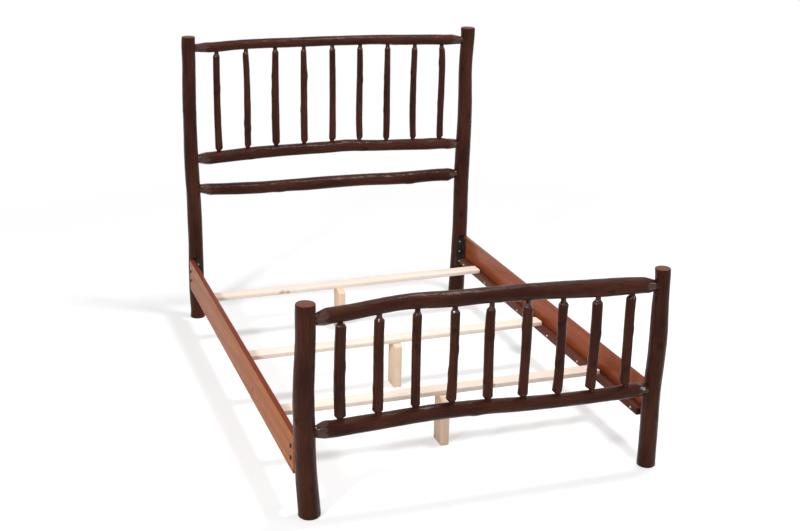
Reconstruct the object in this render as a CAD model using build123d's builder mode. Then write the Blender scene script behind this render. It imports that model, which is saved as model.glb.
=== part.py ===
from build123d import *
import os

os.makedirs("parts", exist_ok=True)

# A bed of peeled logs. A headboard and a footboard, each with two posts, round rails and
# turned-down spindles, are joined by two board side rails on steel corner brackets.
# A ledger along each side rail carries three loose slats, and each slat has a leg to the floor.
# Millimetres. +Z is up, +Y points at the headboard and +X is the sleeper's left,
# which is on the right when the bed is seen from its foot.
# The origin is on the floor, under the middle of the bed.

# Bed frame
post_spread = 1352.0
bed_reach = 2014.0
headboard_post_height = 1359.0
footboard_post_height = 795.0

# Posts: girth is the middle diameter, and each station is
# (share of the height, sideways drift as a share of the girth, share of the girth)
headboard_left_girth = 64.0
headboard_right_girth = 71.0
footboard_left_girth = 76.0
footboard_right_girth = 67.0
headboard_left_bends = (
    (0, 0, 1.12), (0.05, 0.02, 1.09), (0.24, 0.01, 1.09), (0.46, -0.03, 1.05), (0.6, -0.11, 1.04),
    (0.7, -0.12, 0.99), (0.78, -0.12, 0.99), (0.86, -0.09, 0.97), (0.93, -0.07, 0.97), (1, -0.04, 0.97),
)
headboard_right_bends = (
    (0, -0.04, 1.15), (0.05, -0.02, 1.12), (0.16, 0.03, 1.07), (0.32, 0.07, 1.05),
    (0.53, 0.07, 1.06), (0.68, 0.14, 1.0), (0.82, 0.07, 0.94), (0.9, 0.08, 0.93), (1, 0.12, 0.98),
)
footboard_left_bends = (
    (0, 0.2, 1.06), (0.08, 0.15, 1.04), (0.2, 0.06, 1.02), (0.33, 0, 1.0),
    (0.5, -0.05, 1.0), (0.7, -0.02, 0.97), (0.83, 0.03, 0.94), (1, 0.04, 0.92),
)
footboard_right_bends = (
    (0, -0.1, 1.06), (0.1, -0.1, 1.01), (0.25, -0.12, 1.01), (0.4, -0.12, 1.0),
    (0.5, -0.07, 1.0), (0.7, -0.03, 0.99), (0.84, -0.07, 0.91), (1, -0.12, 0.89),
)
post_top_round = 5.0
post_foot_chamfer = 3.0

# Round rails: height is that of the tenons, tilt is how much the left tenon is above it and the
# right one below, and each station is
# (share of the length, rise as a share of the girth, share of the girth)
headboard_top_drop = 56.5
headboard_top_tilt = 3.5
headboard_top_girth = 47.0
headboard_top_bends = (
    (0, 0.1, 0.98), (0.17, 0.29, 0.97), (0.32, 0.3, 0.99), (0.5, 0.32, 0.97),
    (0.65, 0.3, 0.98), (0.8, 0.17, 1.04), (1, 0.02, 1.04),
)
headboard_middle_height = 785.5
headboard_middle_tilt = 2.5
headboard_middle_girth = 54.0
headboard_middle_bends = (
    (0, 0.02, 1.1), (0.1, 0.16, 1.06), (0.2, 0.28, 1.11), (0.34, 0.32, 1.03), (0.5, 0.38, 1.05),
    (0.58, 0.41, 1.05), (0.67, 0.28, 1.02), (0.8, 0.16, 0.99), (0.9, 0.1, 1.06), (1, -0.03, 0.97),
)
headboard_stretcher_height = 636.0
headboard_stretcher_tilt = 6.0
headboard_stretcher_girth = 60.0
headboard_stretcher_bends = (
    (0, -0.02, 0.92), (0.15, -0.14, 0.97), (0.25, -0.14, 0.96), (0.35, -0.13, 0.99), (0.45, -0.13, 1.01),
    (0.55, -0.08, 0.97), (0.67, -0.12, 0.99), (0.8, -0.21, 1.04), (0.9, -0.13, 1.01), (1, -0.17, 1.06),
)
footboard_top_drop = 62.0
footboard_top_tilt = 2.0
footboard_top_girth = 62.0
footboard_top_bends = (
    (0, 0.14, 0.94), (0.08, 0.25, 0.92), (0.17, 0.44, 0.9), (0.26, 0.51, 0.91),
    (0.36, 0.42, 0.96), (0.5, 0.41, 0.95), (0.67, 0.32, 1.0), (0.84, 0.16, 1.07),
    (0.93, 0.11, 1.05), (1, 0.03, 0.96),
)
footboard_low_height = 320.0
footboard_low_tilt = 0.0
footboard_low_girth = 57.0
footboard_low_bends = (
    (0, 0.07, 1.11), (0.12, 0.12, 1.06), (0.25, 0.23, 1.03), (0.35, 0.29, 1.02),
    (0.5, 0.19, 0.97), (0.62, 0.03, 0.95), (0.8, -0.07, 0.92), (1, -0.02, 0.95),
)
rail_sections = 12

# Joints between round rails and posts
heavy_tenon = 42.0
light_tenon = 37.0
shoulder_start = 78.0
shoulder_clearance = 2.0
tenon_past_centre = 10.0
tenon_fit = 0.1
tenon_end_gap = 0.3

# Spindles: each has (sideways drift, diameter) at four heights from the bottom up, as shares
# of the girth of its board's spindles, and its own length of bare neck under the top rail
spindle_count = 9
spindle_margin = 124.0
spindle_tenon = 20.0
spindle_bite = 7.0
spindle_foot_show = 3.0
spindle_shoulder = 12.0
spindle_foot_taper = 11.0
spindle_depth_drift = -0.4
spindle_stations = (0, 0.3, 0.7, 1)
headboard_spindle_girth = 32.0
headboard_spindle_necks = (9.0, 10.0, 8.0, 10.0, 9.0, 9.0, 8.0, 10.0, 9.0)
headboard_spindles = (
    ((0.04, 1.1), (-0.04, 1.02), (-0.06, 0.98), (-0.03, 0.98)),
    ((0.05, 0.97), (0.06, 0.97), (0.05, 0.93), (-0.08, 0.86)),
    ((0.03, 1.12), (-0.02, 1.16), (-0.02, 1.03), (0.04, 0.95)),
    ((0.04, 1.07), (-0.01, 1.05), (-0.01, 0.99), (-0.05, 0.87)),
    ((0.08, 1.05), (0.1, 1.0), (0.07, 0.95), (0.03, 0.89)),
    ((0.07, 0.95), (-0.03, 0.98), (0.01, 0.9), (-0.03, 0.86)),
    ((0.01, 1.0), (0.02, 1.04), (-0.01, 0.95), (-0.01, 0.88)),
    ((0.03, 0.93), (-0.1, 0.98), (-0.08, 0.93), (-0.04, 0.88)),
    ((0.1, 1.03), (0.08, 0.99), (0.16, 0.98), (0.05, 0.88)),
)
footboard_spindle_girth = 37.0
footboard_spindle_necks = (3.0, 11.0, 12.0, 9.0, 16.0, 13.0, 11.0, 11.0, 3.0)
footboard_spindles = (
    ((0.03, 1.14), (-0.03, 1.1), (-0.01, 1.08), (0.05, 1.02)),
    ((-0.03, 1.05), (0.01, 1.0), (-0.01, 0.99), (0.02, 0.97)),
    ((0, 0.92), (-0.01, 0.87), (-0.03, 0.89), (-0.01, 0.88)),
    ((-0.08, 1.03), (0, 0.89), (0.03, 0.89), (0.04, 0.92)),
    ((-0.03, 1.04), (-0.06, 0.97), (-0.11, 0.96), (-0.08, 0.88)),
    ((-0.05, 1.04), (0, 0.95), (0.03, 0.99), (0, 0.98)),
    ((-0.08, 1.0), (0.03, 0.93), (0, 0.93), (0.04, 1.0)),
    ((-0.16, 1.06), (-0.08, 1.05), (-0.01, 1.05), (-0.02, 1.04)),
    ((-0.1, 1.02), (-0.08, 1.0), (-0.1, 1.0), (-0.08, 0.98)),
)

# Side rails: sawn boards between the posts
rail_outset = 36.0
rail_gauge = 21.0
rail_height = 147.0
rail_bottom = 155.0
rail_edge_round = 2.5

# Flat seats cut into the posts for the brackets and the rail ends
seat_from_centre = 28.0
seat_clearance = 2.0

# Ledgers along the inside of the side rails
ledger_width = 35.0
ledger_height = 28.0
ledger_top = 200.0
ledger_end_gap = 51.0
ledger_edge_round = 2.0
ledger_screw_shares = (-0.95, -0.45, -0.13, 0.22, 0.64, 0.94)

# Steel corner brackets, their screws and the bolts through the side rails
bracket_leg = 38.0
bracket_gauge = 3.0
bracket_height = 140.0
bracket_bottom = 154.0
bracket_corner_round = 4.0
bracket_screw_setback = 19.0
bracket_screw_pitch = 52.0
bolt_setback = 26.0
bolt_pitch = 46.0
bolt_diameter = 8.0
bolt_head_flats = 13.0
bolt_head_height = 5.3
bolt_end_show = 1.5
nut_height = 6.5
thread_fit = 0.1
bolt_hole_fit = 0.25
screw_shank = 4.5
screw_head = 9.5
screw_head_height = 3.0
screw_point = 6.0
post_screw_length = 38.0
ledger_screw_length = 50.0

# Loose slats: each has its place along the bed and its turn in degrees, and its leg stands
# to one side of the bed's middle and set back from the slat's middle, towards the foot
slat_width = 64.0
slat_gauge = 19.0
slat_end_gap = 22.0
slat_edge_round = 2.5
head_slat_place = 706.0
middle_slat_place = -18.0
foot_slat_place = -570.0
head_slat_turn = 1.6
middle_slat_turn = 1.2
foot_slat_turn = 0.6
leg_width = 34.0
leg_depth = 82.0
leg_edge_round = 3.0
leg_bevel_drop = 14.0
leg_bevel_reach = 20.0
head_leg_side = -55.0
middle_leg_side = -13.0
foot_leg_side = -13.0
head_leg_setback = 32.0
middle_leg_setback = 7.0
foot_leg_setback = 27.0
leg_screw_pitch = 30.0
leg_screw_length = 64.0
leg_screw_shank = 5.0
leg_screw_head = 9.0

half_spread = post_spread / 2
half_reach = bed_reach / 2
headboard_top_height = headboard_post_height - headboard_top_drop
footboard_top_height = footboard_post_height - footboard_top_drop
half_body = half_spread - shoulder_start
tenon_reach = half_spread + tenon_past_centre
spindle_pitch = (post_spread - 2 * spindle_margin) / (spindle_count - 1)
spindle_places = [(n - (spindle_count - 1) / 2) * spindle_pitch for n in range(spindle_count)]
spindle_bore = spindle_tenon / 2 + tenon_fit
seat_y = half_reach - seat_from_centre
rail_outer = half_spread + rail_outset
rail_inner = rail_outer - rail_gauge
rail_middle = rail_bottom + rail_height / 2
bracket_middle = bracket_bottom + bracket_height / 2
bracket_face = rail_inner - bracket_gauge
screw_bore = screw_shank / 2 + thread_fit
sides = {"left": -1, "right": 1}
ends = {"head": 1, "foot": -1}


def read_between(stations, share, column):
    """One column of a log's stations, read at any share of its length."""
    share = min(max(share, 0.0), 1.0)
    for low, high in zip(stations, stations[1:]):
        if share <= high[0]:
            part = (share - low[0]) / (high[0] - low[0])
            return low[column] + part * (high[column] - low[column])


def rail_centre(height, girth, bends, x):
    """Height of a round rail's centre line above the floor at x."""
    share = x / (2 * half_body) + 0.5
    return height + girth * read_between(bends, share, 1)


def rail_radius(girth, bends, x):
    """Radius of a round rail at x."""
    share = x / (2 * half_body) + 0.5
    return girth / 2 * read_between(bends, share, 2)


def disc(plane, x, y, diameter):
    """A round section of a log on a plane, centred at x, y of that plane."""
    with BuildSketch(plane) as section:
        with Locations((x, y)):
            Circle(diameter / 2)
    return section.sketch


def post_log(x, y, height, girth, bends):
    """The round log of a post, with an eased top and a chamfered foot."""
    sections = []
    for share, drift, plump in bends:
        sections.append(disc(Plane.XY.offset(share * height), x + drift * girth, y, plump * girth))
    loft(sections)
    fillet(faces().sort_by(Axis.Z)[-1].edges(), post_top_round)
    chamfer(faces().sort_by(Axis.Z)[0].edges(), post_foot_chamfer)


def post_mortises(side, y, joints):
    """Round sockets in a post for the tenons, bored from the middle of the bed."""
    for height, tilt, tenon in joints:
        mouth = Plane(origin=(0, y, height - side * tilt), z_dir=(-side, 0, 0))
        with Locations(mouth):
            Hole(tenon / 2 + tenon_fit, tenon_reach + tenon_end_gap)


def post_seat(side, end):
    """The flat that a bracket and a rail end sit on, with its three screw holes."""
    cut_height = rail_height + 2 * seat_clearance
    with Locations((side * half_spread, end * (seat_y - half_reach / 2), rail_middle)):
        Box(4 * shoulder_start, half_reach, cut_height, mode=Mode.SUBTRACT)
    for place in bracket_screw_planes(side, end):
        with Locations(place):
            Hole(screw_bore, bracket_gauge + post_screw_length + tenon_end_gap)


def bracket_screw_planes(side, end):
    """Planes on a bracket's face at its three post screws, facing the middle of the bed."""
    x = side * (rail_inner - bracket_screw_setback)
    y = end * (seat_y - bracket_gauge)
    heights = [bracket_middle + n * bracket_screw_pitch for n in (-1, 0, 1)]
    return [Plane(origin=(x, y, z), z_dir=(0, -end, 0)) for z in heights]


def bolt_planes(side, end, x):
    """Planes at a rail's two bolts, across the bed at x, facing outwards."""
    y = end * (seat_y - bolt_setback)
    heights = [rail_middle + n * bolt_pitch / 2 for n in (-1, 1)]
    return [Plane(origin=(side * x, y, z), z_dir=(side, 0, 0)) for z in heights]


def post_face(side, height, post_height, girth, bends):
    """How far from the middle of the bed a post's near face stands at a height."""
    share = height / post_height
    drift = girth * read_between(bends, share, 1)
    return half_spread + side * drift - girth / 2 * read_between(bends, share, 2)


def headboard_faces(height):
    """Near faces of the left and the right headboard post at a height."""
    left = post_face(-1, height, headboard_post_height, headboard_left_girth, headboard_left_bends)
    right = post_face(1, height, headboard_post_height, headboard_right_girth, headboard_right_bends)
    return left, right


def footboard_faces(height):
    """Near faces of the left and the right footboard post at a height."""
    left = post_face(-1, height, footboard_post_height, footboard_left_girth, footboard_left_bends)
    right = post_face(1, height, footboard_post_height, footboard_right_girth, footboard_right_bends)
    return left, right


def round_rail(y, height, tilt, girth, tenon, bends, faces):
    """A rail's log, its two shoulders shaved down to the posts, and the tenons."""
    sections = []
    for step in range(rail_sections + 1):
        share = step / rail_sections
        rise = girth * read_between(bends, share, 1)
        plump = read_between(bends, share, 2)
        place = Plane.YZ.offset((2 * share - 1) * half_body)
        sections.append(disc(place, y, height + rise, plump * girth))
    loft(sections)
    for side, wide, face in ((-1, sections[0], faces[0]), (1, sections[-1], faces[1])):
        shoulder_end = face - shoulder_clearance
        place = Plane.YZ.offset(side * shoulder_end)
        narrow = disc(place, y, height - side * tilt, tenon)
        loft([wide, narrow], ruled=True)
        extrude(narrow, amount=side * (tenon_reach - shoulder_end))


def spindle_sockets(y, height, girth, bends, up):
    """Blind holes for the spindle tenons, bored towards a rail's centre from the spindle side."""
    mouths = []
    for x in spindle_places:
        centre = rail_centre(height, girth, bends, x)
        mouths.append(Plane(origin=(x, y, centre - up * girth), z_dir=(0, 0, -up)))
    with Locations(*mouths):
        Hole(spindle_bore, girth + spindle_bite + tenon_end_gap)


def spindle_log(x, y, low_centre, low_radius, high_centre, high_radius, girth, shape, neck):
    """One spindle: a bent round body between two tapers, with a tenon at each end."""
    body_low = low_centre + low_radius + spindle_foot_show
    body_high = high_centre - high_radius - neck
    log_low = body_low + spindle_foot_taper
    log_high = body_high - spindle_shoulder
    sections = []
    for share, (drift, plump) in zip(spindle_stations, shape):
        place = Plane.XY.offset(log_low + share * (log_high - log_low))
        across = drift * girth
        sections.append(disc(place, x + across, y + spindle_depth_drift * across, plump * girth))
    loft(sections)
    low_neck = disc(Plane.XY.offset(body_low), x, y, spindle_tenon)
    high_neck = disc(Plane.XY.offset(body_high), x, y, spindle_tenon)
    loft([low_neck, sections[0]], ruled=True)
    loft([sections[-1], high_neck], ruled=True)
    extrude(low_neck, amount=low_centre - spindle_bite - body_low)
    extrude(high_neck, amount=high_centre + spindle_bite - body_high)


def wood_screw(face, shank, length, head, head_height):
    """A domed wood screw whose head sits on a plane and whose point goes down into it."""
    loft([disc(face, 0, 0, head), disc(face.offset(head_height), 0, 0, head / 2)], ruled=True)
    root = disc(face.offset(screw_point - length), 0, 0, shank)
    extrude(root, amount=length - screw_point)
    loft([disc(face.offset(-length), 0, 0, shank / 4), root], ruled=True)


def keep(piece, name):
    """Labels a finished piece and writes it."""
    piece.part.label = name
    export_step(piece.part, f"parts/{name}.step")


# Posts, with sockets for the tenons of the round rails, each given as (height, tilt, tenon)
headboard_joints = (
    (headboard_top_height, headboard_top_tilt, light_tenon),
    (headboard_middle_height, headboard_middle_tilt, heavy_tenon),
    (headboard_stretcher_height, headboard_stretcher_tilt, heavy_tenon),
)
footboard_joints = (
    (footboard_top_height, footboard_top_tilt, heavy_tenon),
    (footboard_low_height, footboard_low_tilt, heavy_tenon),
)
posts = (
    ("headboard_post_left", -1, 1, headboard_left_girth, headboard_left_bends),
    ("headboard_post_right", 1, 1, headboard_right_girth, headboard_right_bends),
    ("footboard_post_left", -1, -1, footboard_left_girth, footboard_left_bends),
    ("footboard_post_right", 1, -1, footboard_right_girth, footboard_right_bends),
)
for name, side, end, girth, bends in posts:
    post_height = headboard_post_height if end > 0 else footboard_post_height
    joints = headboard_joints if end > 0 else footboard_joints
    with BuildPart() as post:
        post_log(side * half_spread, end * half_reach, post_height, girth, bends)
        post_mortises(side, end * half_reach, joints)
        post_seat(side, end)
    keep(post, name)

# Round rails
with BuildPart() as headboard_top_rail:
    round_rail(
        half_reach, headboard_top_height, headboard_top_tilt,
        headboard_top_girth, light_tenon, headboard_top_bends,
        headboard_faces(headboard_top_height),
    )
    spindle_sockets(half_reach, headboard_top_height, headboard_top_girth, headboard_top_bends, 1)
keep(headboard_top_rail, "headboard_top_rail")

with BuildPart() as headboard_middle_rail:
    round_rail(
        half_reach, headboard_middle_height, headboard_middle_tilt,
        headboard_middle_girth, heavy_tenon, headboard_middle_bends,
        headboard_faces(headboard_middle_height),
    )
    spindle_sockets(half_reach, headboard_middle_height, headboard_middle_girth, headboard_middle_bends, -1)
keep(headboard_middle_rail, "headboard_middle_rail")

with BuildPart() as headboard_stretcher:
    round_rail(
        half_reach, headboard_stretcher_height, headboard_stretcher_tilt,
        headboard_stretcher_girth, heavy_tenon, headboard_stretcher_bends,
        headboard_faces(headboard_stretcher_height),
    )
keep(headboard_stretcher, "headboard_stretcher")

with BuildPart() as footboard_top_rail:
    round_rail(
        -half_reach, footboard_top_height, footboard_top_tilt,
        footboard_top_girth, heavy_tenon, footboard_top_bends,
        footboard_faces(footboard_top_height),
    )
    spindle_sockets(-half_reach, footboard_top_height, footboard_top_girth, footboard_top_bends, 1)
keep(footboard_top_rail, "footboard_top_rail")

with BuildPart() as footboard_low_rail:
    round_rail(
        -half_reach, footboard_low_height, footboard_low_tilt,
        footboard_low_girth, heavy_tenon, footboard_low_bends,
        footboard_faces(footboard_low_height),
    )
    spindle_sockets(-half_reach, footboard_low_height, footboard_low_girth, footboard_low_bends, -1)
keep(footboard_low_rail, "footboard_low_rail")

# Spindles
headboard_sticks = zip(spindle_places, headboard_spindles, headboard_spindle_necks)
for number, (x, shape, neck) in enumerate(headboard_sticks, start=1):
    with BuildPart() as headboard_spindle:
        spindle_log(
            x,
            half_reach,
            rail_centre(headboard_middle_height, headboard_middle_girth, headboard_middle_bends, x),
            rail_radius(headboard_middle_girth, headboard_middle_bends, x),
            rail_centre(headboard_top_height, headboard_top_girth, headboard_top_bends, x),
            rail_radius(headboard_top_girth, headboard_top_bends, x),
            headboard_spindle_girth,
            shape,
            neck,
        )
    keep(headboard_spindle, f"headboard_spindle_{number}")

footboard_sticks = zip(spindle_places, footboard_spindles, footboard_spindle_necks)
for number, (x, shape, neck) in enumerate(footboard_sticks, start=1):
    with BuildPart() as footboard_spindle:
        spindle_log(
            x,
            -half_reach,
            rail_centre(footboard_low_height, footboard_low_girth, footboard_low_bends, x),
            rail_radius(footboard_low_girth, footboard_low_bends, x),
            rail_centre(footboard_top_height, footboard_top_girth, footboard_top_bends, x),
            rail_radius(footboard_top_girth, footboard_top_bends, x),
            footboard_spindle_girth,
            shape,
            neck,
        )
    keep(footboard_spindle, f"footboard_spindle_{number}")

# Side rails, ledgers and ledger screws
for side_name, side in sides.items():
    ledger_face = rail_inner - ledger_width
    ledger_middle = ledger_top - ledger_height / 2
    ledger_half = seat_y - ledger_end_gap
    ledger_screw_planes = [
        Plane(origin=(side * ledger_face, share * ledger_half, ledger_middle), z_dir=(-side, 0, 0))
        for share in ledger_screw_shares
    ]
    with BuildPart() as side_rail:
        with Locations((side * (rail_inner + rail_gauge / 2), 0, rail_middle)):
            Box(rail_gauge, 2 * seat_y, rail_height)
        fillet(side_rail.edges().filter_by(Axis.Y), rail_edge_round)
        for end in ends.values():
            with Locations(*bolt_planes(side, end, rail_outer)):
                Hole(bolt_diameter / 2 + bolt_hole_fit, rail_gauge)
        with Locations(*ledger_screw_planes):
            Hole(screw_bore, ledger_screw_length + tenon_end_gap)
    keep(side_rail, f"side_rail_{side_name}")

    with BuildPart() as ledger:
        with Locations((side * (rail_inner - ledger_width / 2), 0, ledger_middle)):
            Box(ledger_width, 2 * ledger_half, ledger_height)
        fillet(ledger.edges().filter_by(Axis.Y), ledger_edge_round)
        with Locations(*ledger_screw_planes):
            Hole(screw_bore, ledger_width)
    keep(ledger, f"ledger_{side_name}")

    with BuildPart() as ledger_screws:
        for face in ledger_screw_planes:
            wood_screw(face, screw_shank, ledger_screw_length, screw_head, screw_head_height)
    keep(ledger_screws, f"ledger_screws_{side_name}")

# Corner brackets with their screws, bolts and nuts
for end_name, end in ends.items():
    for side_name, side in sides.items():
        corner = f"{end_name}_{side_name}"
        with BuildPart() as bracket:
            with BuildSketch(Plane.XY.offset(bracket_bottom)):
                with BuildLine():
                    Polyline(
                        (side * rail_inner, end * seat_y),
                        (side * (rail_inner - bracket_leg), end * seat_y),
                        (side * (rail_inner - bracket_leg), end * (seat_y - bracket_gauge)),
                        (side * bracket_face, end * (seat_y - bracket_gauge)),
                        (side * bracket_face, end * (seat_y - bracket_leg)),
                        (side * rail_inner, end * (seat_y - bracket_leg)),
                        close=True,
                    )
                make_face()
            extrude(amount=bracket_height)
            for place in bracket_screw_planes(side, end):
                with Locations(place):
                    Hole(screw_bore, bracket_gauge)
            with Locations(*bolt_planes(side, end, rail_inner)):
                Hole(bolt_diameter / 2 + bolt_hole_fit, bracket_gauge)
        keep(bracket, f"bracket_{corner}")

        with BuildPart() as post_screws:
            for place in bracket_screw_planes(side, end):
                wood_screw(place, screw_shank, post_screw_length, screw_head, screw_head_height)
        keep(post_screws, f"bracket_screws_{corner}")

        bolt_reach = rail_gauge + bracket_gauge + nut_height + bolt_end_show
        with BuildPart() as bolts:
            for place in bolt_planes(side, end, rail_outer):
                with BuildSketch(place):
                    RegularPolygon(bolt_head_flats / 2, 6, major_radius=False)
                extrude(amount=bolt_head_height)
                with BuildSketch(place):
                    Circle(bolt_diameter / 2)
                extrude(amount=-bolt_reach)
        keep(bolts, f"rail_bolts_{corner}")

        with BuildPart() as nuts:
            for place in bolt_planes(side, end, bracket_face):
                with BuildSketch(place):
                    RegularPolygon(bolt_head_flats / 2, 6, major_radius=False)
                    Circle(bolt_diameter / 2 + thread_fit, mode=Mode.SUBTRACT)
                extrude(amount=-nut_height)
        keep(nuts, f"rail_nuts_{corner}")

# Loose slats with their legs and leg screws
slats = (
    ("head", head_slat_place, head_slat_turn, head_leg_side, head_leg_setback),
    ("middle", middle_slat_place, middle_slat_turn, middle_leg_side, middle_leg_setback),
    ("foot", foot_slat_place, foot_slat_turn, foot_leg_side, foot_leg_setback),
)
for slat_name, slat_y, turn, leg_x, setback in slats:
    leg_y = slat_y - setback
    slat_half = rail_inner - slat_end_gap
    slat_top = ledger_top + slat_gauge
    screw_planes = [
        Plane(origin=(leg_x, slat_y + n * leg_screw_pitch / 2, slat_top), z_dir=(0, 0, 1)) for n in (-1, 1)
    ]
    with BuildPart() as slat:
        with Locations(Location((0, slat_y, ledger_top + slat_gauge / 2), (0, 0, turn))):
            Box(2 * slat_half, slat_width, slat_gauge)
        long_edges = slat.edges().sort_by(SortBy.LENGTH)[-4:]
        fillet(long_edges, slat_edge_round)
        with Locations(*screw_planes):
            CounterSinkHole(leg_screw_shank / 2 + thread_fit, leg_screw_head / 2 + thread_fit, slat_gauge)
    keep(slat, f"{slat_name}_slat")

    with BuildPart() as leg:
        with Locations((leg_x, leg_y, ledger_top / 2)):
            Box(leg_width, leg_depth, ledger_top)
        top_edges = leg.faces().sort_by(Axis.Z)[-1].edges()
        front_edge = top_edges.filter_by(Axis.X).sort_by(Axis.Y)[0]
        chamfer(front_edge, leg_bevel_reach, leg_bevel_drop, reference=leg.faces().sort_by(Axis.Z)[-1])
        fillet(leg.edges().filter_by(Axis.Z), leg_edge_round)
        with Locations(*[Location((leg_x, place.origin.Y, ledger_top)) for place in screw_planes]):
            Hole(leg_screw_shank / 2 + thread_fit, leg_screw_length - slat_gauge + tenon_end_gap)
    keep(leg, f"{slat_name}_slat_leg")

    with BuildPart() as leg_screws:
        for place in screw_planes:
            sink = leg_screw_head / 2 - leg_screw_shank / 2
            neck = disc(place.offset(-sink), 0, 0, leg_screw_shank)
            loft([disc(place, 0, 0, leg_screw_head), neck], ruled=True)
            extrude(neck, amount=-(leg_screw_length - sink))
    keep(leg_screws, f"{slat_name}_slat_screws")
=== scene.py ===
import math
import random

import bmesh
import bpy
from mathutils import Matrix, Vector, noise


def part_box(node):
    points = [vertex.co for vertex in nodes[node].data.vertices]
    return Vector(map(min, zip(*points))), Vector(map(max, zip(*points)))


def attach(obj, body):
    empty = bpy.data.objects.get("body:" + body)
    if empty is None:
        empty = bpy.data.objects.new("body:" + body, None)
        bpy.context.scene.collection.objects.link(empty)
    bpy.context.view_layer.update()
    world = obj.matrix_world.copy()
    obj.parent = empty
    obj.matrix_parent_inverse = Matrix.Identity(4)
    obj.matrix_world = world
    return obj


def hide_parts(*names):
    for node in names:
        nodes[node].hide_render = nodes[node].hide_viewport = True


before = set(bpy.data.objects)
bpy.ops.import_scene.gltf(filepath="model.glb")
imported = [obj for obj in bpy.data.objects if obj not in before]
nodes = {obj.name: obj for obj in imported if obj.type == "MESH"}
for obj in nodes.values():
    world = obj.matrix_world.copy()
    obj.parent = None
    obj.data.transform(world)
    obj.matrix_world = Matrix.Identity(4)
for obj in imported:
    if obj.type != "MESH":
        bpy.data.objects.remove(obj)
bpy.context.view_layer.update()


# Posts
# Four small peeled logs, stained a dark walnut brown and lacquered. The tops are sawn square and
# eased, and a flat is chiselled on the bed side of each for a bracket and the end of a side rail.
frame_body = "bed_frame"
upright = (Vector((0, 0, 1)), Vector((1, 0, 0)), Vector((0, 1, 0)))
crosswise = (Vector((1, 0, 0)), Vector((0, 1, 0)), Vector((0, 0, 1)))
bark_ripple = 0.0012


def put(tree, kind, wires=(), **settings):
    """A shader node with its settings made, and its sockets set to values or wired to others."""
    node = tree.nodes.new(kind)
    for setting, value in settings.items():
        setattr(node, setting, value)
    for socket, value in wires:
        if isinstance(value, bpy.types.NodeSocket):
            tree.links.new(value, node.inputs[socket])
        else:
            node.inputs[socket].default_value = value
    return node


def mix_colours(tree, share, low, high):
    """The colour between low and high, as wired or as a plain colour."""
    node = put(tree, "ShaderNodeMix", [("Factor", share)], data_type="RGBA")
    for place, value in ((6, low), (7, high)):
        if isinstance(value, bpy.types.NodeSocket):
            tree.links.new(value, node.inputs[place])
        else:
            node.inputs[place].default_value = (*value, 1.0)
    return node.outputs[2]


def reckon(tree, operation, first, second):
    """Two values, wired or plain, put together by a math node."""
    return put(tree, "ShaderNodeMath", [(0, first), (1, second)], operation=operation).outputs[0]


def between(tree, value, low, high, start=0.0, stop=1.0):
    """A wired value, stretched from low..high to start..stop and held inside it."""
    wires = [("Value", value), ("From Min", low), ("From Max", high), ("To Min", start), ("To Max", stop)]
    return put(tree, "ShaderNodeMapRange", wires).outputs["Result"]


def new_group(name, inlets, outlets):
    """An empty shader node group with named sockets, and its two end nodes."""
    group = bpy.data.node_groups.new(name, "ShaderNodeTree")
    for label, kind, value in inlets:
        socket = group.interface.new_socket(label, in_out="INPUT", socket_type=kind)
        if value is not None:
            socket.default_value = value
    for label, kind in outlets:
        group.interface.new_socket(label, in_out="OUTPUT", socket_type=kind)
    return group, group.nodes.new("NodeGroupInput"), group.nodes.new("NodeGroupOutput")


# The group reads a place in a straightened log or a board, with Z of the place along the grain.
wood_fibre, fibre_in, fibre_out = new_group(
    "wood fibre",
    [("Place", "NodeSocketVector", None), ("Fineness", "NodeSocketFloat", 1.0)],
    [("Streaks", "NodeSocketFloat"), ("Clouds", "NodeSocketFloat"), ("Pores", "NodeSocketFloat")],
)
for outlet, across_scale, along_scale, detail, low, high in (
    ("Streaks", 170.0, 5.0, 4.0, 0.3, 0.7),
    ("Clouds", 16.0, 4.0, 3.0, 0.3, 0.7),
    ("Pores", 900.0, 26.0, 2.0, 0.35, 0.65),
):
    sized = put(wood_fibre, "ShaderNodeVectorMath", [(0, fibre_in.outputs["Place"])], operation="SCALE")
    wood_fibre.links.new(fibre_in.outputs["Fineness"], sized.inputs["Scale"])
    stretched = put(
        wood_fibre, "ShaderNodeMapping",
        [("Vector", sized.outputs[0]), ("Scale", (across_scale, across_scale, along_scale))],
    )
    cloud = put(
        wood_fibre, "ShaderNodeTexNoise",
        [("Vector", stretched.outputs[0]), ("Scale", 1.0), ("Detail", detail), ("Roughness", 0.6)],
    )
    wood_fibre.links.new(between(wood_fibre, cloud.outputs[0], low, high), fibre_out.inputs[outlet])


def attribute(tree, name, kind="Fac"):
    """A value that a piece carries over its surface."""
    return put(tree, "ShaderNodeAttribute", attribute_name=name).outputs[kind]


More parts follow.
